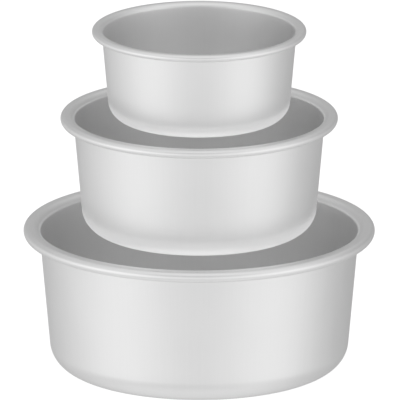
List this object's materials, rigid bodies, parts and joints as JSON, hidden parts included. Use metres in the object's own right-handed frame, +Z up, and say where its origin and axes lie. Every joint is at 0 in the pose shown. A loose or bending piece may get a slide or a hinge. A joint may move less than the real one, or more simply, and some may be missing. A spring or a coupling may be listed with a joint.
{
  "type": "round cake pan set",
  "caption": "Graded set of round cake pans in satin anodised aluminium, each with a tapered drawn side, a curled rim and a loose base plate that lifts out.",
  "frame": {"origin": "centre of the large pan's underside, on the surface that it stands on", "axes": "+Z up along the common axis of the pans; X and Y are any two horizontal directions, because every piece is round"},
  "size_m": [0.2834, 0.2834, 0.2814],
  "materials": {
    "satin_side": "satin anodised, unpolished",
    "satin_base": "satin anodised, unpolished"
  },
  "bodies": {
    "large_side": {"large_side": "satin_side"},
    "large_base": {"large_base": "satin_base"},
    "medium_side": {"medium_side": "satin_side"},
    "medium_base": {"medium_base": "satin_base"},
    "small_side": {"small_side": "satin_side"},
    "small_base": {"small_base": "satin_base"}
  },
  "joints": [
    {"name": "large_base_lift", "type": "slide", "parent": "large_side", "child": "large_base", "axis": [0, 0, 1], "range_m": [0, 0.135]},
    {"name": "medium_pan_lift", "type": "slide", "parent": "large_base", "child": "medium_side", "axis": [0, 0, 1], "range_m": [-0.1115, 0.06]},
    {"name": "medium_base_lift", "type": "slide", "parent": "medium_side", "child": "medium_base", "axis": [0, 0, 1], "range_m": [0, 0.115]},
    {"name": "small_pan_lift", "type": "slide", "parent": "medium_base", "child": "small_side", "axis": [0, 0, 1], "range_m": [-0.0913, 0.06]},
    {"name": "small_base_lift", "type": "slide", "parent": "small_side", "child": "small_base", "axis": [0, 0, 1], "range_m": [0, 0.09]}
  ]
}
